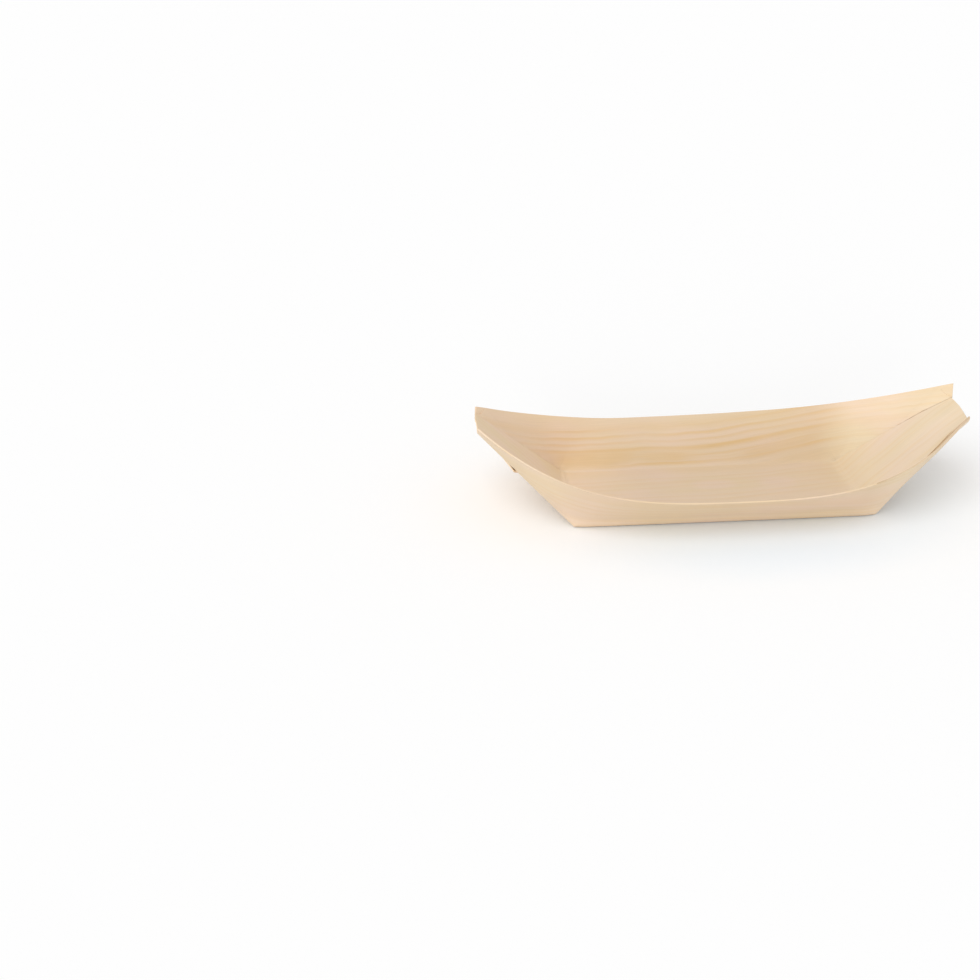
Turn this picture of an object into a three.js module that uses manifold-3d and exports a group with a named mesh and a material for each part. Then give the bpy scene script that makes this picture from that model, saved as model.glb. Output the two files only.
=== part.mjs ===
// A boat-shaped serving bowl folded from one sheet of pine veneer.
// Millimetres, +Z up. +X runs along the bowl and +Y from its near side to its far side.
// The origin is on the underside, below the middle of the whole bowl.
import * as THREE from 'three';
import { mergeVertices } from 'three/addons/utils/BufferGeometryUtils.js';
import Module from 'manifold-3d';

const wasm = await Module();
wasm.setup();

// The sheet
const VENEER = 0.7;
const GLUE_BITE = 0.05; // how far two glued layers sink into each other
const FOLD = 1.5; // distance from a fold line at which the sheet starts to turn

// The flat base, between its four folds
const BASE_LENGTH = 146;
const BASE_WIDTH = 57;

// The two sides, at the middle of their rims
const RIM_HEIGHT = 21.5;
const RIM_TO_RIM = 95.4;
const RIM_RISE_POWER = 2.85; // how late the rims rise on their way to the tips
const RIM_CLOSE_POWER = 3.3; // how late they close in

// Where each side bends round the corner of the base: a fan of straight lines from that corner
// meets the rim between these shares of its length from the middle
const FAN_START = 0.5;
const FAN_END = 0.76;

// The two ends
const RAMP_SLOPE = THREE.MathUtils.degToRad(43.5);
const RAMP_LENGTH = 64;
const RAMP_END_WIDTH = 20;
const RAMP_BEND_RADIUS = 8; // bend across the grain, which can't be sharp

// The tips of the sides, hand folded and so each a little different:
// distance from the middle of the base, distance from the centre line, height
const TIPS = {
  far: { left: [118.9, 13.4, 46.6], right: [121.7, 12.2, 51.2] },
  near: { left: [119.6, 13.8, 47.4], right: [120.1, 13.7, 46.2] },
};

// Each side goes on under the ramps as a tab. At each end one side's tab is glued straight to the
// ramp, as layer 1, and the other side's tab is glued over that, as layer 2, outermost.
const TAB_LAYER = {
  far: { left: 2, right: 1 },
  near: { left: 1, right: 2 },
};
const TAB_CORNER_RISE = 0.64; // place of a tab's corner along the opposite edge of the ramp
const OUTER_TAB_PAST_EDGE = 1.6; // how far the outermost tab's corner shows past that edge
const INNER_TAB_SHORT_OF_EDGE = 0.4;
const TAB_FLANGE = 3; // strip beside each fold that ties a side to its base or tab

// The ramp's own edges are turned up against the insides of the tips
const LAP_START = 0.56; // share of the ramp's length at which the turned-up edge begins
const LAP_TOP = 0.95; // share of the side's height that it covers at the end
const LAP_SET_BACK = 0.035; // share of the rim by which its top stops short of the tip

// Fineness of the curved faces
const RULINGS_ALONG_BASE = 14;
const RULINGS_IN_FAN = 10;
const RULINGS_ALONG_RAMP = 16;
const RULING_PARTS = 5;
const FOLD_PARTS = 4;
const LAP_PARTS = 8;
const CRUMB_VOLUME = 0.01;
const BEND_PARTS = 8;

const SIDES = { far: 1, near: -1 };
const ENDS = { left: -1, right: 1 };
const HALF_BASE = BASE_LENGTH / 2;
const HALF_WIDTH = BASE_WIDTH / 2;
const RAMP_RUN = RAMP_LENGTH * Math.cos(RAMP_SLOPE);
const RAMP_END_X = HALF_BASE + RAMP_RUN;

// Half the width between the ramp's long folds, at distance x from the middle of the bowl
function rampHalfWidth(x) {
  const share = (x - HALF_BASE) / RAMP_RUN;
  return THREE.MathUtils.lerp(HALF_WIDTH, RAMP_END_WIDTH / 2, share);
}

// Where the underside of a layer below the ramp leaves the ground
function layerStart(layer) {
  return HALF_BASE + (layer * VENEER) / Math.sin(RAMP_SLOPE);
}

// Height of the underside of a layer, 0 being the ramp itself
function layerUnderside(x, layer) {
  return Math.max(0, (x - layerStart(layer)) * Math.tan(RAMP_SLOPE));
}

// Solids

function toManifold(geometry) {
  const bare = geometry.clone();
  bare.deleteAttribute('normal');
  bare.deleteAttribute('uv');
  const welded = mergeVertices(bare, 1e-4);
  return new wasm.Manifold(new wasm.Mesh({
    numProp: 3,
    vertProperties: new Float32Array(welded.attributes.position.array),
    triVerts: new Uint32Array(welded.index.array),
  }));
}

function toGeometry(manifold) {
  const mesh = manifold.getMesh();
  const geometry = new THREE.BufferGeometry();
  geometry.setAttribute('position', new THREE.BufferAttribute(new Float32Array(mesh.vertProperties), 3));
  geometry.setIndex(new THREE.BufferAttribute(new Uint32Array(mesh.triVerts), 1));
  geometry.computeVertexNormals();
  return geometry;
}

// An outline in X and Z, drawn out across the bowl
function acrossPrism(outline) {
  const depth = 2 * RIM_TO_RIM;
  const geometry = new THREE.ExtrudeGeometry(outline, { depth, bevelEnabled: false, curveSegments: BEND_PARTS });
  geometry.rotateX(Math.PI / 2);
  geometry.translate(0, depth / 2, 0);
  return toManifold(geometry);
}

// An outline in X and Y, drawn up past the highest tip
function uprightPrism(points) {
  const depth = 2 * RAMP_LENGTH;
  const outline = new THREE.Shape(points.map(([x, y]) => new THREE.Vector2(x, y)));
  const geometry = new THREE.ExtrudeGeometry(outline, { depth, bevelEnabled: false });
  geometry.translate(0, 0, -depth / 2);
  return toManifold(geometry);
}

// A surface given by rows of points, welded, with the triangles that have no area left out
function surfaceFromRows(rows) {
  const columns = rows[0].length;
  const geometry = new THREE.BufferGeometry();
  geometry.setAttribute('position', new THREE.Float32BufferAttribute(rows.flat().flatMap((point) => point.toArray()), 3));
  const quads = [];
  for (let row = 0; row + 1 < rows.length; row++) {
    for (let column = 0; column + 1 < columns; column++) {
      const a = row * columns + column;
      const b = a + columns;
      quads.push(a, b, b + 1, a, b + 1, a + 1);
    }
  }
  geometry.setIndex(quads);
  const welded = mergeVertices(geometry, 1e-4);
  const corners = Array.from(welded.index.array);
  const kept = [];
  for (let i = 0; i < corners.length; i += 3) {
    const [a, b, c] = corners.slice(i, i + 3);
    if (a !== b && b !== c && c !== a) kept.push(a, b, c);
  }
  welded.setIndex(kept);
  return welded;
}

// Gives an open surface its thickness, between two distances on its inner side
function thicken(surface, from, to) {
  surface.computeVertexNormals();
  const { position, normal } = surface.attributes;
  const count = position.count;
  const points = [from, to].flatMap((distance) => Array.from({ length: count }, (_, i) => [
    position.getX(i) - normal.getX(i) * distance,
    position.getY(i) - normal.getY(i) * distance,
    position.getZ(i) - normal.getZ(i) * distance,
  ]));
  const faces = surface.index.array;
  const triangles = [];
  const edges = new Set();
  for (let i = 0; i < faces.length; i += 3) {
    const [a, b, c] = [faces[i], faces[i + 1], faces[i + 2]];
    triangles.push(a, b, c, a + count, c + count, b + count);
    edges.add(`${a} ${b}`).add(`${b} ${c}`).add(`${c} ${a}`);
  }
  for (const edge of edges) {
    const [a, b] = edge.split(' ').map(Number);
    if (!edges.has(`${b} ${a}`)) triangles.push(b, a, a + count, b, a + count, b + count);
  }
  const solid = new THREE.BufferGeometry();
  solid.setAttribute('position', new THREE.Float32BufferAttribute(points.flat(), 3));
  solid.setIndex(triangles);
  return toManifold(solid);
}

// The sides

function rimPoint(side, share) {
  const [tipX, tipY, tipZ] = TIPS[side][share < 0 ? 'left' : 'right'];
  const reach = Math.abs(share);
  const y = THREE.MathUtils.lerp(RIM_TO_RIM / 2, tipY, reach ** RIM_CLOSE_POWER);
  const z = THREE.MathUtils.lerp(RIM_HEIGHT, tipZ, reach ** RIM_RISE_POWER);
  return new THREE.Vector3(share * tipX, SIDES[side] * y, z);
}

// The fold at the foot of a side: along the base, round its corner, and up the ramp
function foldPoint(side, share) {
  const end = share < 0 ? 'left' : 'right';
  const layer = TAB_LAYER[side][end];
  const reach = Math.abs(share);
  const start = layerStart(layer);
  let x = start;
  if (reach < FAN_START) x = (reach / FAN_START) * start;
  if (reach > FAN_END) x = THREE.MathUtils.mapLinear(reach, FAN_END, 1, start, RAMP_END_X);
  const y = rampHalfWidth(Math.max(x, HALF_BASE));
  return new THREE.Vector3(ENDS[end] * x, SIDES[side] * y, layerUnderside(x, layer));
}

// Shares of the rim's half length where the straight lines down the side are drawn
function rulingShares() {
  const along = (from, to, parts) => Array.from({ length: parts }, (_, i) => from + ((to - from) * (i + 1)) / parts);
  const half = [
    ...along(0, FAN_START, RULINGS_ALONG_BASE),
    ...along(FAN_START, FAN_END, RULINGS_IN_FAN),
    ...along(FAN_END, 1, RULINGS_ALONG_RAMP),
  ];
  return [...half.map((share) => -share).reverse(), 0, ...half];
}

// From the rim straight down, round the fold, and a little way under the base or ramp
function sideSection(side, share) {
  const rim = rimPoint(side, share);
  const fold = foldPoint(side, share);
  const down = fold.clone().sub(rim);
  const turnStart = fold.clone().addScaledVector(down.clone().normalize(), -FOLD);
  const inward = new THREE.Vector3(0, -SIDES[side], 0);
  const turnEnd = fold.clone().addScaledVector(inward, FOLD);
  const flangeEnd = fold.clone().addScaledVector(inward, FOLD + TAB_FLANGE);
  const wall = Array.from({ length: RULING_PARTS }, (_, i) => rim.clone().lerp(turnStart, i / RULING_PARTS));
  const turn = new THREE.QuadraticBezierCurve3(turnStart, fold, turnEnd).getPoints(FOLD_PARTS);
  return [...wall, ...turn, flangeEnd];
}

function buildSide(side) {
  const rows = rulingShares().map((share) => sideSection(side, share));
  if (side === 'near') rows.reverse();
  return thicken(surfaceFromRows(rows), 0, VENEER);
}

// The base and the two ramps, one strip of veneer

function buildFloor() {
  const bend = RAMP_BEND_RADIUS;
  const tangent = (bend + VENEER) * Math.tan(RAMP_SLOPE / 2);
  const arcX = HALF_BASE - tangent;
  const arcZ = bend + VENEER;
  const rightAngle = Math.PI / 2;
  const endX = RAMP_END_X;
  const endZ = RAMP_RUN * Math.tan(RAMP_SLOPE);
  const riseX = -VENEER * Math.sin(RAMP_SLOPE);
  const riseZ = VENEER * Math.cos(RAMP_SLOPE);
  const outline = new THREE.Shape();
  outline.absarc(arcX, arcZ, bend + VENEER, -rightAngle, RAMP_SLOPE - rightAngle, false);
  outline.lineTo(endX, endZ);
  outline.lineTo(endX + riseX, endZ + riseZ);
  outline.absarc(arcX, arcZ, bend, RAMP_SLOPE - rightAngle, -rightAngle, true);
  outline.absarc(-arcX, arcZ, bend, -rightAngle, -rightAngle - RAMP_SLOPE, true);
  outline.lineTo(-endX - riseX, endZ + riseZ);
  outline.lineTo(-endX, endZ);
  outline.absarc(-arcX, arcZ, bend + VENEER, -rightAngle - RAMP_SLOPE, -rightAngle, false);

  // Its long edges end inside the sides: level with the start of the fold along the base,
  // and half a thickness inside the sides along the ramps
  const meetX = HALF_BASE + 2 * FOLD;
  const pastX = RAMP_END_X + VENEER;
  const quarter = [
    [pastX, rampHalfWidth(pastX) - VENEER / 2],
    [meetX, rampHalfWidth(meetX) - VENEER / 2],
    [HALF_BASE, HALF_WIDTH - FOLD],
  ];
  const plan = [
    ...quarter,
    ...quarter.map(([x, y]) => [-x, y]).reverse(),
    ...quarter.map(([x, y]) => [-x, -y]),
    ...quarter.map(([x, y]) => [x, -y]).reverse(),
  ];
  return acrossPrism(outline).intersect(uprightPrism(plan));
}

// The tabs under the ramps

function buildTab(side, end) {
  const layer = TAB_LAYER[side][end];
  const outermost = layer === 2;
  const toEnd = ENDS[end];
  const toSide = SIDES[side];
  const startX = layerStart(layer);
  const aboveX = layerStart(layer - 1);
  const slopeUp = Math.tan(RAMP_SLOPE);
  const biteX = GLUE_BITE / Math.sin(RAMP_SLOPE);
  const outline = new THREE.Shape([
    [startX, 0],
    [RAMP_END_X, (RAMP_END_X - startX) * slopeUp],
    [RAMP_END_X, (RAMP_END_X - aboveX + biteX) * slopeUp],
    [aboveX - biteX, 0],
  ].map(([x, z]) => new THREE.Vector2(toEnd * x, z)));

  // In plan: the corner of the base, the slit edge to the tab's own corner, and the end edge
  const cornerX = HALF_BASE + TAB_CORNER_RISE * RAMP_RUN;
  const past = outermost ? OUTER_TAB_PAST_EDGE : -INNER_TAB_SHORT_OF_EDGE;
  const cornerY = -(rampHalfWidth(cornerX) + past);
  const ownFold = (x) => rampHalfWidth(x) - FOLD;
  const plan = [
    [aboveX - biteX, ownFold(HALF_BASE)],
    [aboveX - biteX, ownFold(HALF_BASE) - TAB_FLANGE],
    [cornerX, cornerY],
    [RAMP_END_X, ownFold(RAMP_END_X) - TAB_FLANGE],
    [RAMP_END_X, ownFold(RAMP_END_X)],
  ].map(([x, y]) => [toEnd * x, toSide * y]);
  return acrossPrism(outline).intersect(uprightPrism(plan));
}

// The turned-up edges of the ramps, lying against the insides of the tips

function buildLap(side, end) {
  const toEnd = ENDS[end];
  const startShare = THREE.MathUtils.lerp(FAN_END, 1, LAP_START);
  const start = new THREE.Vector2(startShare, 0);
  const low = new THREE.Vector2(1, 0);
  const high = new THREE.Vector2(1 - LAP_SET_BACK, LAP_TOP);
  const rows = [];
  for (let i = 0; i <= LAP_PARTS; i++) {
    const row = [];
    for (let j = 0; j <= LAP_PARTS; j++) {
      const place = start.clone().lerp(low.clone().lerp(high, 1 - j / LAP_PARTS), i / LAP_PARTS);
      const share = toEnd * place.x;
      const fold = foldPoint(side, share);
      const rim = rimPoint(side, share);
      const foot = fold.clone().addScaledVector(rim.clone().sub(fold).normalize(), FOLD);
      row.push(foot.lerp(rim, place.y));
    }
    rows.push(row);
  }
  if (toEnd * SIDES[side] < 0) rows.reverse();
  return thicken(surfaceFromRows(rows), VENEER / 2, 2 * VENEER);
}

function buildBoat() {
  const layers = [buildFloor()];
  for (const side of Object.keys(SIDES)) {
    layers.push(buildSide(side));
    for (const end of Object.keys(ENDS)) {
      layers.push(buildTab(side, end), buildLap(side, end));
    }
  }
  const whole = layers.reduce((joined, layer) => joined.add(layer));
  // Where three faces meet at a fold, the union can leave a loose crumb with no thickness
  const pieces = whole.decompose().filter((piece) => Math.abs(piece.volume()) > CRUMB_VOLUME);
  return wasm.Manifold.compose(pieces);
}

const wood = new THREE.MeshStandardMaterial({ color: 0xe3c8a2, roughness: 0.62, metalness: 0 });
const veneerBoat = new THREE.Mesh(toGeometry(buildBoat()), wood);
veneerBoat.name = 'veneer_boat';

// The tips reach a little further on one end, so the middle of the whole isn't the middle of the base
const reach = (end) => Math.max(...Object.values(TIPS).map((tips) => tips[end][0]));
veneerBoat.position.x = (reach('left') - reach('right')) / 2;

const boat = new THREE.Group();
boat.add(veneerBoat);

export default boat;
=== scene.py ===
"""A boat-shaped bowl folded from sliced pine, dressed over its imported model."""
import math

import bmesh
import bpy
import numpy as np
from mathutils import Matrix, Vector


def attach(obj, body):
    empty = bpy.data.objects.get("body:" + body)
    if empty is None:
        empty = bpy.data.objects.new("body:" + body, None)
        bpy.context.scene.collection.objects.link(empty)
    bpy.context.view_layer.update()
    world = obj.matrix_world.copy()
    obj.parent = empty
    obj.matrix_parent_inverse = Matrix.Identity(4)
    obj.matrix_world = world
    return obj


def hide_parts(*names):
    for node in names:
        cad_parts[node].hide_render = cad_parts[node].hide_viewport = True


bl_info = {
    "name": "Folded Pine Boat",
    "version": (1, 0, 0),
    "blender": (4, 5, 0),
    "location": "View3D > Sidebar > Pine Boat",
    "description": "Dresses a bowl folded from one sheet of pine veneer and sets its studio",
    "category": "Object",
}

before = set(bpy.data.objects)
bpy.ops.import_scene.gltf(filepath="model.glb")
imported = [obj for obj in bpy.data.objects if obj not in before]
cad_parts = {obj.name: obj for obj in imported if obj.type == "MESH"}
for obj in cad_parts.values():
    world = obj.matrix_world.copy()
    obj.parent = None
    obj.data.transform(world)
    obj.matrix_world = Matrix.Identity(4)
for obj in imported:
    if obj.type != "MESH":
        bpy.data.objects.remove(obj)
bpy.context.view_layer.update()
NODE = "veneer_boat"
SIDES = (-1, 1)
MM = 0.001

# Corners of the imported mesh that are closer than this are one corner, in metres
WELD = 2e-7

# Tips of the two sides by side and end, from the middle of the base, in mm
TIPS = {
    (1, -1): (118.9, 13.4, 46.6),
    (1, 1): (121.7, 12.2, 51.2),
    (-1, -1): (119.6, 13.8, 47.4),
    (-1, 1): (120.1, 13.7, 46.2),
}

# Number of the ruling at the middle of a side, and how far from it one stands for the turn into a ramp
MIDDLE = 120
TURNED_RULING = 106

# Where the ends of the rulings turn to the ramp, and how fast the rim closes in and climbs to the tips
FAN_START, FAN_END = 0.50, 0.76
RIM_SWEEP = 3.3
RIM_CLIMB = 2.85

# Turned-up ramp edges: where they start along a side, and how many veneers deep they lie before and after
LAP_START = 0.885
LAP_FROM, LAP_TO, LAP_PRESSED = 1.07, 2.3, 1.03

# Half the length and width of the blank, with a little to spare, and the most its grain shifts, in mm
BLANK_REACH = 125
BLANK_SPREAD = 70
GRAIN_SHIFT = 20

# How far the far rim dips or rises from its plain curve: place along it and height, in mm
FAR_RIM_SWAY = (
    (-118, 0), (-104, -0.9), (-90, -1.1), (-76, -1.3), (-50, -1.65), (-37, -1.3), (-24, -0.8), (2, -0.3),
    (28, 0.2), (54, 0.2), (80, -0.1), (104, -0.5), (116, -0.4), (121, 0),
)
SWAY_BLUR = 13

# Changes at the right ramp's end: start and width of each, in shares of the ramp along it and in metres
STRETCH_ALONG, STRETCH_ABOVE, STRETCH_ACROSS = (0.75, 0.25), (1.0 * MM, 5.5 * MM), (-14.2 * MM, 3.5 * MM)
SAG_ALONG, SAG_ABOVE, SAG_ACROSS = (0.22, 0.55), (1.0 * MM, 3.0 * MM), (0, 11 * MM)

# Edges that turn more than this stay sharp, and those that turn more than this bound a cut edge
SHARP_TURN = math.radians(28)
CUT_TURN = math.radians(50)

# Longest edges of the mesh by a bend and elsewhere, and how far from a bend the short ones go, in mm
FINE_EDGE, COARSE_EDGE = 2.4, 10
FINE_REACH = 4

# Slow flow of the grain over the blank: place along it and shift across it, in mm
GRAIN_FLOW = (
    (-125, 2), (125, 12), (-74, -1.5), (-50, -1), (-25, -0.4), (0, 0), (25, 1.8), (50, 5.2),
    (70, 8.4), (92, 10.5),
)

# Warm stains and pink flushes: place along and across the blank, reach both ways in mm, strength
STAINS = (
    (-55, 36.0, 34, 7.0, 0.8), (-20, 35.0, 30, 4.5, 0.6), (45, 33.5, 30, 4.0, 0.6), (-88, 30, 16, 7, 0.5),
)
FLUSHES = ((3, 8, 16, 7, 1.0), (37, 8, 14, 9, 1.0), (-62, 12, 22, 12, 0.7), (-95, 8, 14, 16, 0.7))

# Bold growth lines: place across the blank, reach to either side in mm, and strength
GRAIN_LINES = (
    (-44, 2.2, 1.2, 0.20), (-20, 3.0, 1.6, 0.22), (12, 3.0, 1.6, 0.30), (31.5, 2.6, 1.2, 0.85),
    (35.6, 1.8, 1.0, 0.55), (40.2, 3.2, 1.3, 1.0), (44.0, 1.6, 0.9, 0.70), (47.8, 2.0, 1.0, 0.80),
    (51.8, 1.8, 1.0, 0.65),
)

# Patches paler or darker than the rest: place and reach as for the stains, and gain in red, green and blue;
# the last is a painted highlight along the foot of the near side, against the shade there
PATCHES = (
    (80, 38, 22, 15, (1.01, 1.04, 1.06)),
    (42, 46, 62, 24, (0.955, 0.955, 0.94)),
    # Painted highlight along the foot of the near side, lifting the shade by the floor
    (0, -32.5, 110, 7, (1.13, 1.15, 1.17)),
)

# Finishes of the sheet by slot: name, shade in red, green and blue, and strength of the relief
FINISHES = (
    ("sliced face", (1, 1, 1), 0.35),
    # Paler than the face: a painted highlight on the lit top of the near rim
    ("cut edge", (1.06, 1.05, 1.03), 0.6),
    # Darker edges: the far rim and the right part of the near rim
    ("darker edge", (0.84, 0.80, 0.76), 0.6),
    # Dark brown: painted shade on the tab edges that lie in shadow under the ramps
    ("shaded tab edge", (0.62, 0.47, 0.38), 0.6),
)
CUT_SLOT, DARK_EDGE_SLOT, SHADED_TAB_SLOT = 1, 2, 3

# Where the darker edges of the near side begin, and the widest a cut edge is, in mm
DARK_EDGE_FROM = 66
CUT_WIDTH = 1.0

# Painted shadow on the floor by the bowl, a cool darker tint against the wood's warm bounce: its middle and
# its reach along X and Y, in metres
SHADOW_PAINT_MIDDLE = (0.015, -0.01)
SHADOW_PAINT_REACH = (0.135, 0.08)


class SheetSettings(bpy.types.PropertyGroup):
    """Sizes of the folded sheet, as the model has them, and the colours of its wood"""

    base_length: bpy.props.FloatProperty(
        name="Base length", description="Between the bends at the feet of the two ramps",
        default=0.146, unit="LENGTH")
    base_width: bpy.props.FloatProperty(
        name="Base width", description="Between the folds at the feet of the two sides",
        default=0.057, unit="LENGTH")
    rim_height: bpy.props.FloatProperty(
        name="Rim height", description="Height of the sides at their middle",
        default=0.0215, unit="LENGTH")
    rim_to_rim: bpy.props.FloatProperty(
        name="Rim to rim", description="Width across the rims at their middle",
        default=0.0954, unit="LENGTH")
    ramp_slope: bpy.props.FloatProperty(
        name="Ramp slope", description="Angle of the ramps to the base",
        default=math.radians(43.5), subtype="ANGLE")
    ramp_length: bpy.props.FloatProperty(
        name="Ramp length", description="From the bend at its foot to its cut end",
        default=0.064, unit="LENGTH")
    ramp_end_width: bpy.props.FloatProperty(
        name="Ramp end width", description="Width of a ramp at its cut end",
        default=0.020, unit="LENGTH")
    bend_radius: bpy.props.FloatProperty(
        name="Bend radius", description="How softly the pressed sheet turns at its bends",
        default=0.0055, unit="LENGTH", precision=5)
    veneer: bpy.props.FloatProperty(
        name="Veneer", description="Thickness of the sheet",
        default=0.0007, unit="LENGTH", precision=5)
    early_wood: bpy.props.FloatVectorProperty(
        name="Early wood", description="The pale wood between the growth lines",
        default=(0.712, 0.562, 0.388), subtype="COLOR")
    late_wood: bpy.props.FloatVectorProperty(
        name="Late wood", description="The darker wood of the growth lines",
        default=(0.685, 0.462, 0.212), subtype="COLOR")
    flush: bpy.props.FloatVectorProperty(
        name="Flush", description="The pinkish tint of the broad patches",
        default=(0.730, 0.565, 0.432), subtype="COLOR")
    end_reach: bpy.props.FloatProperty(
        name="End reach", description="How far the end of the right ramp is drawn out to below its tips",
        default=0.0019, unit="LENGTH", precision=5)
    end_sag: bpy.props.FloatProperty(
        name="End sag", description="How far that end sags at its near edge",
        default=0.0023, unit="LENGTH", precision=5)
    line_gap: bpy.props.FloatProperty(
        name="Line gap", description="Usual distance between growth lines",
        default=0.0052, unit="LENGTH")


class StageSettings(bpy.types.PropertyGroup):
    """The floor, the lights and the camera"""

    floor_colour: bpy.props.FloatVectorProperty(
        name="Floor colour", description="Colour of the floor as the wood sees it",
        default=(0.93, 0.93, 0.93), subtype="COLOR")
    # Painted shadow: a cool, darker tint of the floor by the bowl that cancels the warm light the wood sends
    # onto it
    painted_shadow_tint: bpy.props.FloatVectorProperty(
        name="Shadow tint", description="Cool tint of the floor by the bowl, so its shadow stays neutral",
        default=(0.845, 0.925, 0.995), subtype="COLOR")
    floor_size: bpy.props.FloatProperty(
        name="Floor size", description="Side of the square floor", default=6.0, unit="LENGTH")
    sky_strength: bpy.props.FloatProperty(
        name="Sky strength", description="Strength of the even light all round", default=0.682)
    key_strength: bpy.props.FloatProperty(
        name="Key strength", description="Strength of the soft sun from the upper left", default=1.17)
    key_direction: bpy.props.FloatVectorProperty(
        name="Key direction", description="Turn of the soft sun",
        default=(math.radians(25), math.radians(-31), 0), subtype="EULER")
    softness: bpy.props.FloatProperty(
        name="Softness", description="Angular size of the soft sun",
        default=math.radians(50), subtype="ANGLE")
    fill_strength: bpy.props.FloatProperty(
        name="Fill strength", description="Strength of the low light from the front", default=0.75)
    fill_direction: bpy.props.FloatVectorProperty(
        name="Fill direction", description="Turn of the low light from the front",
        default=(math.radians(85), 0, math.radians(-15)), subtype="EULER")
    lens: bpy.props.FloatProperty(
        name="Lens", description="Focal length for a sensor 36 mm wide", default=44.31)
    camera_place: bpy.props.FloatVectorProperty(
        name="Camera place", description="Where the camera stands, from the middle of the bowl's underside",
        default=(-0.1550, -0.5222, 0.2999), subtype="TRANSLATION")
    camera_tilt: bpy.props.FloatProperty(
        name="Camera tilt", description="Angle at which it looks down", default=0.510, subtype="ANGLE")
    camera_turn: bpy.props.FloatProperty(
        name="Camera turn", description="Turn about the vertical from looking straight across the bowl",
        default=-0.079, subtype="ANGLE")


def smooth_normals(mesh, angle):
    """Shades a mesh smooth apart from the edges sharper than the angle."""
    for polygon in mesh.polygons:
        polygon.use_smooth = True
    work = bmesh.new()
    work.from_mesh(mesh)
    for edge in work.edges:
        edge.smooth = edge.calc_face_angle(0) < angle
    work.to_mesh(mesh)
    work.free()


def copy_of_node(name, piece_name):
    """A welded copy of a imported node's mesh, as a new object."""
    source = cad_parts[name]
    mesh = source.data.copy()
    mesh.materials.clear()
    piece = bpy.data.objects.new(piece_name, mesh)
    bpy.context.scene.collection.objects.link(piece)
    work = bmesh.new()
    work.from_mesh(mesh)
    bmesh.ops.remove_doubles(work, verts=work.verts, dist=WELD)
    bmesh.ops.dissolve_degenerate(work, edges=work.edges, dist=WELD / 2)
    work.to_mesh(mesh)
    work.free()
    return piece


def places_of(mesh):
    """Places of a mesh's vertices."""
    return np.array([vertex.co for vertex in mesh.vertices], float)


def put_back(mesh, places):
    """Moves a mesh's vertices to new places."""
    mesh.vertices.foreach_set("co", places.astype(np.float32).ravel())


def rise(values, start, width):
    """Goes evenly from 0 at the start to 1 a width further on."""
    return np.clip((values - start) / width, 0, 1)


def soft_rise(values, start, width):
    """Goes softly from 0 at the start to 1 a width further on."""
    share = rise(values, start, width)
    return share ** 2 * (3 - 2 * share)


def box_offset():
    """Distance along X from the middle of the base to the middle of the whole bowl."""
    left, right = (max(TIPS[side, end][0] for side in SIDES) for end in SIDES)
    return (right - left) / 2 * MM


def ramp_run(settings):
    """Length of a ramp in plan."""
    return settings.ramp_length * math.cos(settings.ramp_slope)


def floor_edge(settings, beyond):
    """Half the width of the floor, at distances in plan beyond the foot of a ramp."""
    taper = (settings.ramp_end_width - settings.base_width) / 2 / ramp_run(settings)
    return settings.base_width / 2 + taper * beyond


def rulings(settings, side):
    """Straight lines down one side, from rim to fold, from the left tip to the right one."""
    half = settings.base_length / 2
    shares = np.linspace(-1, 1, 2 * MIDDLE + 1)
    reach = np.abs(shares)
    tips = np.array([TIPS[side, 1 if share > 0 else -1] for share in shares]) * MM
    rim = np.stack([
        shares * tips[:, 0],
        side * (settings.rim_to_rim / 2 + (tips[:, 1] - settings.rim_to_rim / 2) * reach ** RIM_SWEEP),
        settings.rim_height + (tips[:, 2] - settings.rim_height) * reach ** RIM_CLIMB,
    ], 1)
    along = np.interp(reach, [0, FAN_START, FAN_END, 1], [0, half, half, half + ramp_run(settings)])
    beyond = np.maximum(along - half, 0)
    fold = np.stack([
        np.sign(shares) * along,
        side * floor_edge(settings, beyond),
        beyond * math.tan(settings.ramp_slope),
    ], 1)
    return rim, fold


def lay_flat(rim, fold):
    """The rulings laid out on the blank, worked outwards from the middle one, as triangles."""
    count = len(rim)
    middle = count // 2
    flat_rim = np.zeros((count, 2))
    flat_fold = np.zeros((count, 2))
    flat_fold[middle] = (fold[middle, 0], abs(fold[middle, 1]))
    flat_rim[middle] = flat_fold[middle] + (0, np.linalg.norm(rim[middle] - fold[middle]))

    def third_corner(a, b, from_a, from_b, turn):
        base = b - a
        length = np.linalg.norm(base)
        along = (from_a ** 2 - from_b ** 2 + length ** 2) / (2 * length)
        away = math.sqrt(max(from_a ** 2 - along ** 2, 0))
        unit = base / length
        return a + unit * along + turn * away * np.array([-unit[1], unit[0]])

    for step in (1, -1):
        at = middle
        while 0 <= at + step < count:
            nxt = at + step
            flat_rim[nxt] = third_corner(
                flat_fold[at], flat_rim[at], np.linalg.norm(rim[nxt] - fold[at]),
                np.linalg.norm(rim[nxt] - rim[at]), -step)
            flat_fold[nxt] = third_corner(
                flat_fold[at], flat_rim[nxt], np.linalg.norm(fold[nxt] - fold[at]),
                np.linalg.norm(fold[nxt] - rim[nxt]), -step)
            at = nxt
    return flat_rim, flat_fold


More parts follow.
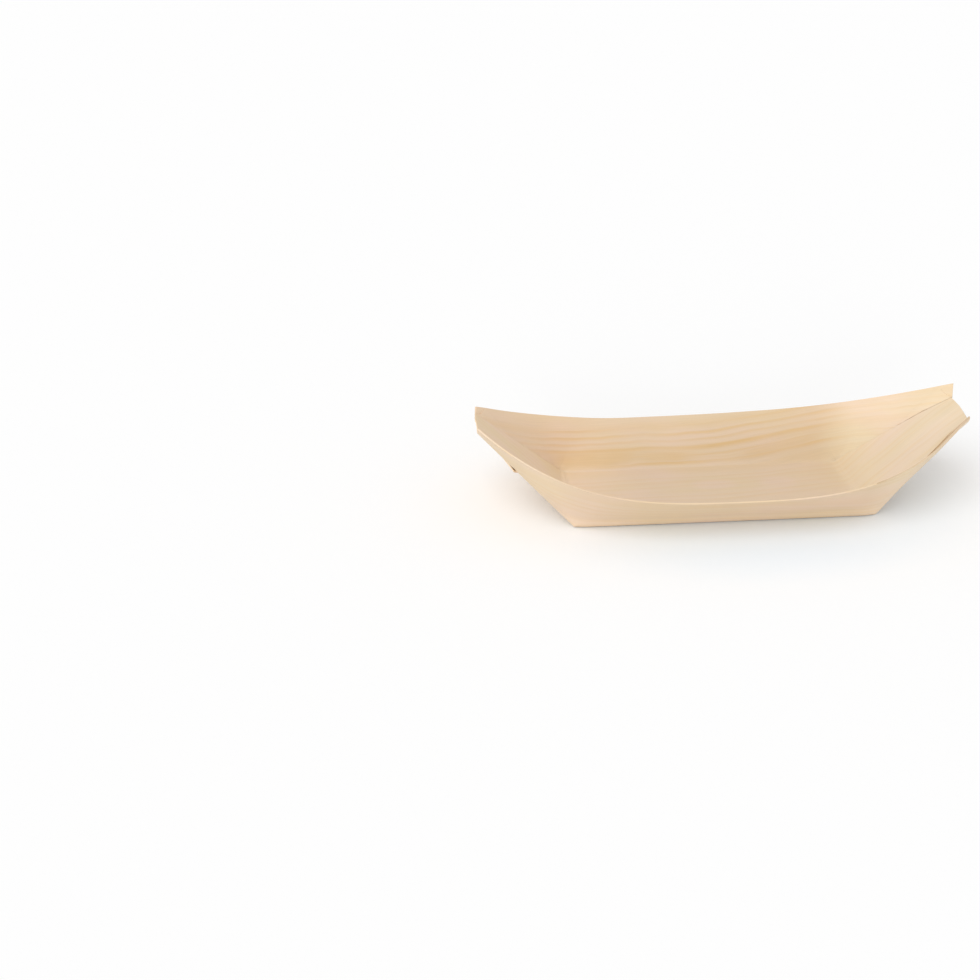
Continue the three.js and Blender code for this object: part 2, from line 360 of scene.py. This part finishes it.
def flatten_laps(piece, settings):
    """Presses the turned-up edges of the ramps flat against the tips, where they are glued."""
    shift = np.array([box_offset(), 0, 0])
    places = places_of(piece.data) + shift
    by_the_tips = 100 * MM
    clear_of_fold = 0.02
    for side in SIDES:
        rim, fold = rulings(settings, side)
        across = rim - fold
        along = np.gradient(fold + rim, axis=0)
        inward = np.cross(along, across) * side
        inward /= np.linalg.norm(inward, axis=1, keepdims=True)
        lengths = (across ** 2).sum(1)
        own = np.nonzero((places[:, 1] * side > 0) & (np.abs(places[:, 0]) > by_the_tips))[0]
        for index in own:
            offset = places[index] - fold
            share = np.clip((offset * across).sum(1) / lengths, 0, 1)
            rest = offset - share[:, None] * across
            best = int(np.argmin((rest ** 2).sum(1)))
            depth = float(rest[best] @ inward[best]) / settings.veneer
            in_lap = abs(best - MIDDLE) / MIDDLE > LAP_START and share[best] > clear_of_fold
            if in_lap and LAP_FROM < depth < LAP_TO:
                places[index] -= inward[best] * (depth - LAP_PRESSED) * settings.veneer
    put_back(piece.data, places - shift)


def lengthen_right_end(piece, settings):
    """Draws the end of the right ramp out to below its tips, and lets its near edge sag."""
    places = places_of(piece.data)
    beyond = places[:, 0] - (settings.base_length / 2 - box_offset())
    share = beyond / ramp_run(settings)
    above = places[:, 2] - beyond * math.tan(settings.ramp_slope)
    stretch = soft_rise(share, *STRETCH_ALONG)
    stretch *= 1 - rise(above, *STRETCH_ABOVE)
    stretch *= rise(places[:, 1], *STRETCH_ACROSS)
    sag = soft_rise(share, *SAG_ALONG) * (1 - rise(above, *SAG_ABOVE))
    sag *= rise(-places[:, 1], *SAG_ACROSS)
    short_of_tips = 0.05 * MM
    end_drop = 0.1 * MM
    room = max(places[:, 0].max() - short_of_tips, 0) - places[:, 0]
    places[:, 0] += np.minimum(settings.end_reach * stretch, np.maximum(room, 0))
    places[:, 2] -= end_drop * stretch + settings.end_sag * sag
    put_back(piece.data, places)


def sway_far_rim(piece, settings):
    """Lets the far side dip and rise a little, as a thin sheet does."""
    places = places_of(piece.data)
    x = places[:, 0] + box_offset()
    beyond = np.maximum(np.abs(x) - settings.base_length / 2, 0)
    foot = beyond * math.tan(settings.ramp_slope)
    rim, _ = rulings(settings, 1)
    top = np.interp(x, rim[:, 0], rim[:, 2])
    share = np.clip((places[:, 2] - foot) / np.maximum(top - foot, MM), 0, 1)
    grid = np.arange(-BLANK_REACH, BLANK_REACH + 1)
    sway = np.interp(grid, *zip(*FAR_RIM_SWAY))
    sway = np.pad(sway, SWAY_BLUR // 2, mode="edge")
    sway = np.convolve(sway, np.ones(SWAY_BLUR) / SWAY_BLUR, mode="valid")
    move = np.interp(x / MM, grid, sway) * MM * share
    places[:, 2] += np.where(places[:, 1] > floor_edge(settings, beyond) - MM, move, 0)
    put_back(piece.data, places)


def fold_lines(settings):
    """The bends of the sheet: two ends, the way the inner corner faces, half the turn, and whether crisp."""
    half = settings.base_length / 2
    wide = settings.base_width / 2
    end_x = half + ramp_run(settings)
    end_y = settings.ramp_end_width / 2
    end_z = settings.ramp_length * math.sin(settings.ramp_slope)
    lean = settings.rim_to_rim / 2 - wide
    up = np.array([0, 0, 1.0])
    ramp_in = {to_end: np.array([-to_end * math.sin(settings.ramp_slope), 0, math.cos(settings.ramp_slope)])
               for to_end in SIDES}
    lines = []
    for side in SIDES:
        side_in = np.array([0, -side * settings.rim_height, lean])
        side_in /= np.linalg.norm(side_in)
        lines.append(((-half, side * wide, 0), (half, side * wide, 0), up, side_in, side < 0))
        rim, fold = rulings(settings, side)
        for to_end in SIDES:
            at = MIDDLE + to_end * TURNED_RULING
            along = rim[at + 2] - rim[at - 2] + fold[at + 2] - fold[at - 2]
            tip_in = np.cross(along, rim[at] - fold[at]) * side
            tip_in /= np.linalg.norm(tip_in)
            lines.append(((to_end * half, side * wide, 0), (to_end * end_x, side * end_y, end_z),
                          ramp_in[to_end], tip_in, False))
    for to_end in SIDES:
        foot = to_end * half
        lines.append(((foot, -wide, 0), (foot, wide, 0), up, ramp_in[to_end], to_end > 0))
    return [(np.array(a), np.array(b), (n + m) / np.linalg.norm(n + m), math.acos(float(n @ m)) / 2, crisp)
            for a, b, n, m, crisp in lines]


def near_folds(points, lines, reach):
    """Which points lie within reach of a bend."""
    near = np.zeros(len(points), bool)
    for a, b, *_ in lines:
        along = b - a
        share = np.clip((points - a) @ along / (along @ along), 0, 1)
        near |= np.linalg.norm(points - a - share[:, None] * along, axis=1) < reach
    return near


def refine(piece, lines):
    """Splits long edges, and more of them near the bends, until all are short enough."""
    shift = np.array([box_offset(), 0, 0])
    most_rounds = 8
    work = bmesh.new()
    work.from_mesh(piece.data)
    for _ in range(most_rounds):
        edges = list(work.edges)
        ends = np.array([(e.verts[0].co, e.verts[1].co) for e in edges], float)
        lengths = np.linalg.norm(ends[:, 0] - ends[:, 1], axis=1)
        close = near_folds(ends.mean(1) + shift, lines, FINE_REACH * MM + lengths / 3)
        limit = np.where(close, FINE_EDGE, COARSE_EDGE) * MM
        longer = [edges[index] for index in np.nonzero(lengths > limit)[0]]
        if not longer:
            break
        bmesh.ops.subdivide_edges(work, edges=longer, cuts=1)
        bmesh.ops.triangulate(work, faces=[face for face in work.faces if len(face.verts) > 3])
    work.to_mesh(piece.data)
    work.free()


def soften_folds(piece, lines, radius):
    """Rounds the bends, as pressed wood doesn't fold sharply."""
    shift = np.array([box_offset(), 0, 0])
    places = places_of(piece.data) + shift
    moves = np.zeros_like(places)
    weights = np.zeros(len(places))
    crisp_share = 0.5
    already_round = 0.12 * MM
    layers_deep = 3 * MM
    for a, b, inner, half_angle, crisp in lines:
        own_radius = radius * (crisp_share if crisp else 1)
        along = (b - a) / np.linalg.norm(b - a)
        aside = np.cross(along, inner)
        aside /= np.linalg.norm(aside)
        reach = own_radius * math.tan(half_angle)
        depth = own_radius * (1 / math.cos(half_angle) - 1) - already_round
        offset = places - a
        run = offset @ along
        past = np.maximum(np.maximum(-run, run - np.linalg.norm(b - a)), 0)
        away = np.abs(offset @ aside)
        in_layers = np.abs(offset @ inner) < reach + layers_deep
        weight = np.clip(1 - np.hypot(away, past) / reach, 0, 1) ** 2 * in_layers
        moves += weight[:, None] * inner * depth
        weights += weight
    moves /= np.maximum(weights, 1)[:, None]
    put_back(piece.data, places + moves - shift)


def blank_places(settings, points, side):
    """Places on the blank of points on one side of the bowl, blended from the rulings by them."""
    rim, fold = rulings(settings, side)
    flat_rim, flat_fold = lay_flat(rim, fold)
    reach = rim - fold
    lengths = (reach ** 2).sum(1)
    places = np.zeros((len(points), 2))
    batch = 2000
    blend = 0.4 * MM
    for start in range(0, len(points), batch):
        part = points[start:start + batch]
        offset = part[:, None, :] - fold[None]
        share = np.clip((offset * reach[None]).sum(2) / lengths[None], 0, 1)
        gap = np.linalg.norm(offset - share[..., None] * reach[None], axis=2)
        weight = 1 / (gap - gap.min(1, keepdims=True) + blend) ** 4
        weight /= weight.sum(1, keepdims=True)
        flat = flat_fold[None] + share[..., None] * (flat_rim - flat_fold)[None]
        places[start:start + batch] = (flat * weight[..., None]).sum(1)
    places[:, 1] *= side
    return places


def write_blank_map(piece, settings):
    """Gives each corner of the mesh its place on the flat blank, so the grain runs as it was sliced."""
    mesh = piece.data
    shift = np.array([box_offset(), 0, 0])
    vertices = places_of(mesh) + shift
    centres = np.array([polygon.center for polygon in mesh.polygons], float) + shift
    half = settings.base_length / 2
    fold_margin = 0.9 * MM
    floor_depth = 1.8 * MM
    beyond = np.maximum(np.abs(centres[:, 0]) - half, 0)
    in_plan = np.abs(centres[:, 1]) < floor_edge(settings, beyond) - fold_margin
    on_floor = in_plan & (centres[:, 2] < beyond * math.tan(settings.ramp_slope) + floor_depth)
    sides = {side: blank_places(settings, vertices, side) for side in SIDES}
    reach = np.abs(vertices[:, 0])
    climb = np.maximum(reach - half, 0) / math.cos(settings.ramp_slope)
    floor = np.stack([np.sign(vertices[:, 0]) * (np.minimum(reach, half) + climb), vertices[:, 1]], 1)
    layer = mesh.uv_layers.new(name="Blank")
    places = np.zeros((len(mesh.loops), 2))
    for polygon in mesh.polygons:
        source = floor if on_floor[polygon.index] else sides[1 if centres[polygon.index, 1] > 0 else -1]
        for loop in polygon.loop_indices:
            places[loop] = source[mesh.loops[loop].vertex_index]
    layer.data.foreach_set("uv", places.astype(np.float32).ravel())


def smooth_patches(work, crease):
    """Sets of faces that meet without a crease, and the length of each set's outline."""
    work.faces.ensure_lookup_table()
    unseen = set(range(len(work.faces)))
    while unseen:
        first = unseen.pop()
        patch, queue = [first], [first]
        outline = 0.0
        while queue:
            face = work.faces[queue.pop()]
            for edge in face.edges:
                others = [other for other in edge.link_faces if other != face]
                if not others or edge.calc_face_angle(math.pi) > crease:
                    outline += edge.calc_length()
                    continue
                if others[0].index in unseen:
                    unseen.discard(others[0].index)
                    patch.append(others[0].index)
                    queue.append(others[0].index)
        yield [work.faces[index] for index in patch], outline


def mark_cut_edges(mesh, settings):
    """Finds the narrow faces between the two surfaces of the sheet and gives them the cut-edge finishes, the
    tab edges under the ramps a painted shade.
    """
    half = settings.base_length / 2
    work = bmesh.new()
    work.from_mesh(mesh)
    clear_of_foot = 5 * MM
    layers_down = 1.5 * MM
    for patch, outline in smooth_patches(work, CUT_TURN):
        if 2 * sum(face.calc_area() for face in patch) > outline * CUT_WIDTH * MM:
            continue
        middle = sum((face.calc_center_median() for face in patch), Vector()) / len(patch)
        beyond = abs(middle.x) - half
        ramp_height = (beyond - layers_down) * math.tan(settings.ramp_slope)
        under_ramp = beyond > clear_of_foot and middle.z < ramp_height
        for face in patch:
            centre = face.calc_center_median()
            on_darker_edge = centre.y > 0 or centre.x > DARK_EDGE_FROM * MM
            # Tab edges under a ramp take the painted shade
            face.material_index = SHADED_TAB_SLOT if under_ramp else DARK_EDGE_SLOT if on_darker_edge else CUT_SLOT
    work.to_mesh(mesh)
    work.free()


class Nodes:
    """Short ways to place and join the nodes of one tree."""

    def __init__(self, tree):
        self.tree = tree

    def add(self, kind, inputs=(), **settings):
        """A new node, with its inputs fed and its settings made."""
        node = self.tree.nodes.new(kind)
        for key, value in settings.items():
            setattr(node, key, value)
        for key, value in dict(inputs).items():
            self.feed(node.inputs[key], value)
        return node

    def feed(self, socket, value):
        """Joins a socket to another node's output, or sets its value."""
        if isinstance(value, bpy.types.NodeSocket):
            self.tree.links.new(value, socket)
        else:
            socket.default_value = value

    def math(self, operation, first, second, clamp=False):
        """A sum on two values."""
        node = self.add("ShaderNodeMath", {0: first, 1: second}, operation=operation, use_clamp=clamp)
        return node.outputs[0]

    def mix(self, share, first, second, blend="MIX"):
        """A share of the second colour over the first."""
        node = self.add("ShaderNodeMix", data_type="RGBA", blend_type=blend)
        self.feed(node.inputs[0], share)
        self.feed(node.inputs[6], first)
        self.feed(node.inputs[7], second)
        return node.outputs[2]

    def place(self, x, y, z):
        """A vector of three values."""
        return self.add("ShaderNodeCombineXYZ", {0: x, 1: y, 2: z}).outputs[0]

    def streaks(self, x, y, x_rate, y_rate, seed=0.0, detail=2.0, rough=0.5):
        """Noise drawn out by its two rates, in turns for each mm."""
        at = self.place(self.math("MULTIPLY", x, x_rate), self.math("MULTIPLY", y, y_rate), seed)
        given = {"Vector": at, "Scale": 1.0, "Detail": detail, "Roughness": rough}
        node = self.add("ShaderNodeTexNoise", given)
        return node.outputs[0]

    def swing(self, value, reach):
        """A noise moved to swing about nothing, over this reach."""
        return self.math("MULTIPLY", self.math("SUBTRACT", value, 0.5), reach)

    def spot(self, along, across, middle, above, reach, spread):
        """An oval patch, full at its middle and gone at its rim."""
        x = self.math("DIVIDE", self.math("SUBTRACT", along, middle), reach)
        y = self.math("DIVIDE", self.math("SUBTRACT", across, above), spread)
        away = self.math("ADD", self.math("MULTIPLY", x, x), self.math("MULTIPLY", y, y))
        return self.span(away, 1.0, 0.0, smooth=True)

    def curve(self, value, low, high, out_low, out_high, points):
        """A smooth curve through points, the first two of which are its ends."""
        node = self.add("ShaderNodeFloatCurve", {"Factor": 1.0, "Value": self.span(value, low, high)})
        line = node.mapping.curves[0]
        for index, (x, y) in enumerate(points):
            at = ((x - low) / (high - low), (y - out_low) / (out_high - out_low))
            if index < 2:
                line.points[index].location = at
            else:
                line.points.new(*at)
        node.mapping.update()
        return self.span(node.outputs[0], 0.0, 1.0, out_low, out_high)

    def ramp(self, value, low, high, lines):
        """Bands that rise and fall at their places, each with its own strength."""
        node = self.add("ShaderNodeValToRGB", {"Fac": self.span(value, low, high)})
        stops = node.color_ramp.elements
        node.color_ramp.interpolation = "EASE"
        stops[0].position, stops[1].position = 0.0, 1.0
        stops[1].color = stops[0].color = (0, 0, 0, 1)
        for middle, below, above, strength in lines:
            for place, shade in ((middle - below, 0.0), (middle, strength), (middle + above, 0.0)):
                stop = stops.new((place - low) / (high - low))
                stop.color = (shade, shade, shade, 1)
        return node.outputs[0]

    def span(self, value, low, high, to_low=0.0, to_high=1.0, smooth=False):
        """A value brought from one span to another and held at its ends."""
        node = self.add("ShaderNodeMapRange", {0: value, 1: low, 2: high, 3: to_low, 4: to_high})
        node.interpolation_type = "SMOOTHSTEP" if smooth else "LINEAR"
        return node.outputs[0]


def draw_growth_lines(kit, settings, along, bent, ripple):
    """Bold growth lines where the sheet shows them, faint ones all over, and the warm stains by them."""
    # The bold lines weaken here and there, and towards both ends
    breaks = kit.streaks(along, bent, 0.022, 0.10, seed=11.0, detail=1.0)
    bold = kit.ramp(bent, -BLANK_SPREAD, BLANK_SPREAD, GRAIN_LINES)
    bold = kit.math("MULTIPLY", bold, kit.span(breaks, 0.34, 0.62, 0.45, 1.0))
    bold = kit.math("MULTIPLY", bold, kit.span(along, 62, 84, 1.0, 0.35, smooth=True))
    bold = kit.math("MULTIPLY", bold, kit.span(along, -98, -70, 0.40, 1.0, smooth=True))

    # Each faint line darkens slowly and ends sharply, at uneven distances from the next
    spread = kit.streaks(0.0, bent, 0.0, 0.09, seed=3.0, detail=0.0)
    uneven = kit.math("ADD", bent, kit.math("MULTIPLY", spread, 14.0))
    tooth = kit.math("FRACT", kit.math("DIVIDE", uneven, settings.line_gap / MM), 0.0)
    rising = kit.span(tooth, 0.30, 0.85, smooth=True)
    falling = kit.span(tooth, 0.85, 1.0, 1.0, 0.0, smooth=True)
    faint = kit.math("MULTIPLY", rising, falling)
    faint = kit.math("MULTIPLY", faint, kit.span(breaks, 0.35, 0.7, 0.30, 0.08))
    line = kit.math("MAXIMUM", bold, faint)

    for middle, above, reach, spread_across, strength in STAINS:
        stain = kit.spot(along, bent, middle, above, reach, spread_across)
        stain = kit.math("MULTIPLY", stain, kit.span(ripple, 0.3, 0.7, 0.5, 1.0))
        line = kit.math("MAXIMUM", line, kit.math("MULTIPLY", stain, strength))
    return line


def draw_flushes(kit, along, across):
    """Broad pinkish patches, some at their own places."""
    flush = kit.span(kit.streaks(along, across, 0.018, 0.05, seed=2.0), 0.40, 0.66)
    for middle, above, reach, spread, strength in FLUSHES:
        spot = kit.spot(along, across, middle, above, reach, spread)
        flush = kit.math("MAXIMUM", flush, kit.math("MULTIPLY", spot, strength))
    return flush


def paint_light_zones(kit, along, across, colour):
    """Paints light into the blank: its right end, far left and near left paler as painted light, and the
    listed patches paler or darker.
    """
    far_half = kit.span(across, -40, -20, smooth=True)
    right_end = kit.span(along, 62, 86, smooth=True)
    lit_far_left = kit.math("MULTIPLY", kit.span(along, -25, -92, smooth=True), far_half)
    lit_near_left = kit.math("SUBTRACT", kit.span(along, -66, -100, smooth=True), far_half, clamp=True)
    # The three zones are painted light: paler where the ends and the near wall's left end catch the lamps
    zones = [
        (right_end, (1.11, 1.155, 1.185)),
        (lit_far_left, (1.225, 1.225, 1.225)),
        (lit_near_left, (1.08, 1.10, 1.12)),
    ]
    zones += [(kit.spot(along, across, *patch), gain) for *patch, gain in PATCHES]
    for share, gain in zones:
        colour = kit.mix(share, colour, kit.mix(1.0, colour, list(gain) + [1.0], "MULTIPLY"))
    return colour


def make_grain_group(settings):
    """Sliced pine on the blank: growth lines, broad flushes and fine fibres."""
    group = bpy.data.node_groups.new("sliced_pine", "ShaderNodeTree")
    face = group.interface
    face.new_socket("Blank", in_out="INPUT", socket_type="NodeSocketVector")
    for name in ("Early Wood", "Late Wood", "Flush"):
        face.new_socket(name, in_out="INPUT", socket_type="NodeSocketColor")
    face.new_socket("Colour", in_out="OUTPUT", socket_type="NodeSocketColor")
    face.new_socket("Height", in_out="OUTPUT", socket_type="NodeSocketFloat")
    face.new_socket("Roughness", in_out="OUTPUT", socket_type="NodeSocketFloat")
    kit = Nodes(group)
    given = kit.add("NodeGroupInput").outputs
    apart = kit.add("ShaderNodeSeparateXYZ", {0: given["Blank"]})
    along = kit.math("MULTIPLY", apart.outputs[0], 1 / MM)
    across = kit.math("MULTIPLY", apart.outputs[1], 1 / MM)

    # All lines follow one slow flow along the blank, and wander a little from it
    flow = kit.curve(along, -BLANK_REACH, BLANK_REACH, -GRAIN_SHIFT, GRAIN_SHIFT, GRAIN_FLOW)
    wander = kit.streaks(along, across, 0.014, 0.04, detail=1.5)
    ripple = kit.streaks(along, across, 0.05, 0.06, seed=7.0, detail=1.0)
    bent = kit.math("SUBTRACT", across, flow)
    bent = kit.math("ADD", bent, kit.swing(wander, 5.0))
    bent = kit.math("ADD", bent, kit.swing(ripple, 1.6))

    line = draw_growth_lines(kit, settings, along, bent, ripple)
    flush = draw_flushes(kit, along, across)
    colour = kit.mix(flush, given["Early Wood"], given["Flush"])
    colour = kit.mix(kit.math("MULTIPLY", line, 0.80), colour, given["Late Wood"])
    # Painted light on the ends, and the listed patches
    colour = paint_light_zones(kit, along, across, colour)

    # Fine fibres shade the wood, and with the lines they give it its relief
    fibre = kit.streaks(along, bent, 0.05, 2.2, seed=5.0, detail=3.0, rough=0.6)
    shade = kit.span(fibre, 0.25, 0.75, 0.955, 1.035)
    colour = kit.mix(1.0, colour, kit.place(shade, shade, shade), "MULTIPLY")
    height = kit.math("ADD", kit.math("MULTIPLY", fibre, 0.6), kit.math("MULTIPLY", line, 0.4))
    out = kit.add("NodeGroupOutput")
    kit.feed(out.inputs["Colour"], colour)
    kit.feed(out.inputs["Height"], height)
    kit.feed(out.inputs["Roughness"], kit.span(fibre, 0.3, 0.7, 0.52, 0.66))
    return group


def make_wood(name, group, settings, shade, bump):
    """A finish of the sheet: its grain, with its own shade and depth of relief."""
    material = bpy.data.materials.new(name)
    material.use_nodes = True
    kit = Nodes(material.node_tree)
    shader = material.node_tree.nodes["Principled BSDF"]
    blank = kit.add("ShaderNodeUVMap", uv_map="Blank").outputs[0]
    woods = {"Early Wood": settings.early_wood, "Late Wood": settings.late_wood, "Flush": settings.flush}
    grain = kit.add("ShaderNodeGroup", node_tree=group)
    kit.feed(grain.inputs["Blank"], blank)
    for socket, colour in woods.items():
        kit.feed(grain.inputs[socket], [channel * factor for channel, factor in zip(colour, shade)] + [1.0])
    kit.feed(shader.inputs["Base Color"], grain.outputs["Colour"])
    kit.feed(shader.inputs["Roughness"], grain.outputs["Roughness"])
    shader.inputs["Specular IOR Level"].default_value = 0.25
    relief = kit.add("ShaderNodeBump", {"Strength": bump, "Distance": 0.06 * MM})
    kit.feed(relief.inputs["Height"], grain.outputs["Height"])
    kit.feed(shader.inputs["Normal"], relief.outputs[0])
    return material


class BOAT_OT_veneer_sheet(bpy.types.Operator):
    """Makes the folded sheet with its grain"""

    bl_idname = "boat.veneer_sheet"
    bl_label = "Folded sheet"

    def execute(self, context):
        settings = context.scene.boat_sheet
        piece = copy_of_node(NODE, "folded_sheet")
        write_blank_map(piece, settings)
        mark_cut_edges(piece.data, settings)
        flatten_laps(piece, settings)
        lines = fold_lines(settings)
        refine(piece, lines)
        soften_folds(piece, lines, settings.bend_radius)
        lengthen_right_end(piece, settings)
        sway_far_rim(piece, settings)
        group = make_grain_group(settings)
        for name, shade, bump in FINISHES:
            piece.data.materials.append(make_wood(name, group, settings, shade, bump))
        smooth_normals(piece.data, SHARP_TURN)
        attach(piece, "root")
        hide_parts(NODE)
        return {"FINISHED"}


class BOAT_OT_stage(bpy.types.Operator):
    """Makes the pale floor, the soft lights and the camera"""

    bl_idname = "boat.stage"
    bl_label = "Stage"

    def execute(self, context):
        stage = context.scene.boat_stage
        just_under = -0.05 * MM
        bpy.ops.mesh.primitive_plane_add(size=stage.floor_size, location=(0, 0, just_under))
        floor = context.active_object
        floor.name = "studio_floor"
        floor.data.materials.append(make_floor_paint(stage))
        light_room(context.scene, stage)

        add_sun("key_light", stage.key_direction, stage.key_strength, stage.softness)
        add_sun("fill_light", stage.fill_direction, stage.fill_strength, stage.softness / 2)

        bpy.ops.object.camera_add(
            location=stage.camera_place,
            rotation=(math.pi / 2 - stage.camera_tilt, 0, stage.camera_turn))
        camera = context.active_object
        camera.name = "photo_camera"
        camera.data.sensor_width = 36
        camera.data.lens = stage.lens
        camera.data.clip_end = 20
        context.scene.camera = camera
        context.scene.view_settings.view_transform = "Standard"
        return {"FINISHED"}


def add_sun(name, direction, strength, softness):
    """A soft sun."""
    bpy.ops.object.light_add(type="SUN", location=(0, 0, 1), rotation=direction)
    sun = bpy.context.active_object
    sun.name = name
    sun.data.energy = strength
    sun.data.angle = softness


def make_floor_paint(stage):
    """White where the camera looks at it, with a painted shadow of cool darker tint by the bowl, and a plain
    pale colour for the light that it sends back.
    """
    material = bpy.data.materials.new("studio floor")
    material.use_nodes = True
    kit = Nodes(material.node_tree)
    shader = material.node_tree.nodes["Principled BSDF"]
    path = kit.add("ShaderNodeLightPath").outputs
    seen = kit.math("MAXIMUM", path["Is Camera Ray"], path["Is Glossy Ray"])
    ground = kit.add("ShaderNodeSeparateXYZ", {0: kit.add("ShaderNodeTexCoord").outputs["Object"]})
    # Painted shadow by the bowl, darker and cooler, so the wood's warm bounce reads neutral
    painted_shadow_share = kit.spot(ground.outputs[0], ground.outputs[1], *SHADOW_PAINT_MIDDLE, *SHADOW_PAINT_REACH)
    white = kit.mix(painted_shadow_share, [0.995, 0.995, 0.995, 1.0], list(stage.painted_shadow_tint) + [1.0])
    colour = kit.mix(seen, list(stage.floor_colour) + [1.0], white)
    kit.feed(shader.inputs["Base Color"], colour)
    shader.inputs["Roughness"].default_value = 1.0
    shader.inputs["Specular IOR Level"].default_value = 0.0
    return material


def light_room(scene, stage):
    """Even white light all round, seen by the camera as a white backdrop."""
    world = bpy.data.worlds.new("studio")
    scene.world = world
    world.use_nodes = True
    kit = Nodes(world.node_tree)
    background = world.node_tree.nodes["Background"]
    path = kit.add("ShaderNodeLightPath").outputs
    seen = kit.math("MAXIMUM", path["Is Camera Ray"],
                    kit.math("MAXIMUM", path["Is Glossy Ray"], path["Is Transmission Ray"]))
    kit.feed(background.inputs["Strength"], kit.span(seen, 0.0, 1.0, stage.sky_strength, 1.0))
    background.inputs["Color"].default_value = (1, 1, 1, 1)


class BOAT_PT_panel(bpy.types.Panel):
    """Lists the steps that make the bowl and its studio"""

    bl_label = "Pine Boat"
    bl_idname = "BOAT_PT_panel"
    bl_space_type = "VIEW_3D"
    bl_region_type = "UI"
    bl_category = "Pine Boat"

    def draw(self, context):
        for settings in (context.scene.boat_sheet, context.scene.boat_stage):
            for name in settings.bl_rna.properties.keys():
                if name not in ("rna_type", "name"):
                    self.layout.prop(settings, name)
        self.layout.operator(BOAT_OT_stage.bl_idname)
        self.layout.operator(BOAT_OT_veneer_sheet.bl_idname)


CLASSES = (SheetSettings, StageSettings, BOAT_OT_veneer_sheet, BOAT_OT_stage, BOAT_PT_panel)


def register():
    for cls in CLASSES:
        bpy.utils.register_class(cls)
    bpy.types.Scene.boat_sheet = bpy.props.PointerProperty(type=SheetSettings)
    bpy.types.Scene.boat_stage = bpy.props.PointerProperty(type=StageSettings)


def unregister():
    del bpy.types.Scene.boat_stage
    del bpy.types.Scene.boat_sheet
    for cls in reversed(CLASSES):
        bpy.utils.unregister_class(cls)


def main():
    register()
    bpy.ops.boat.stage()
    bpy.ops.boat.veneer_sheet()


if __name__ == "__main__":
    main()
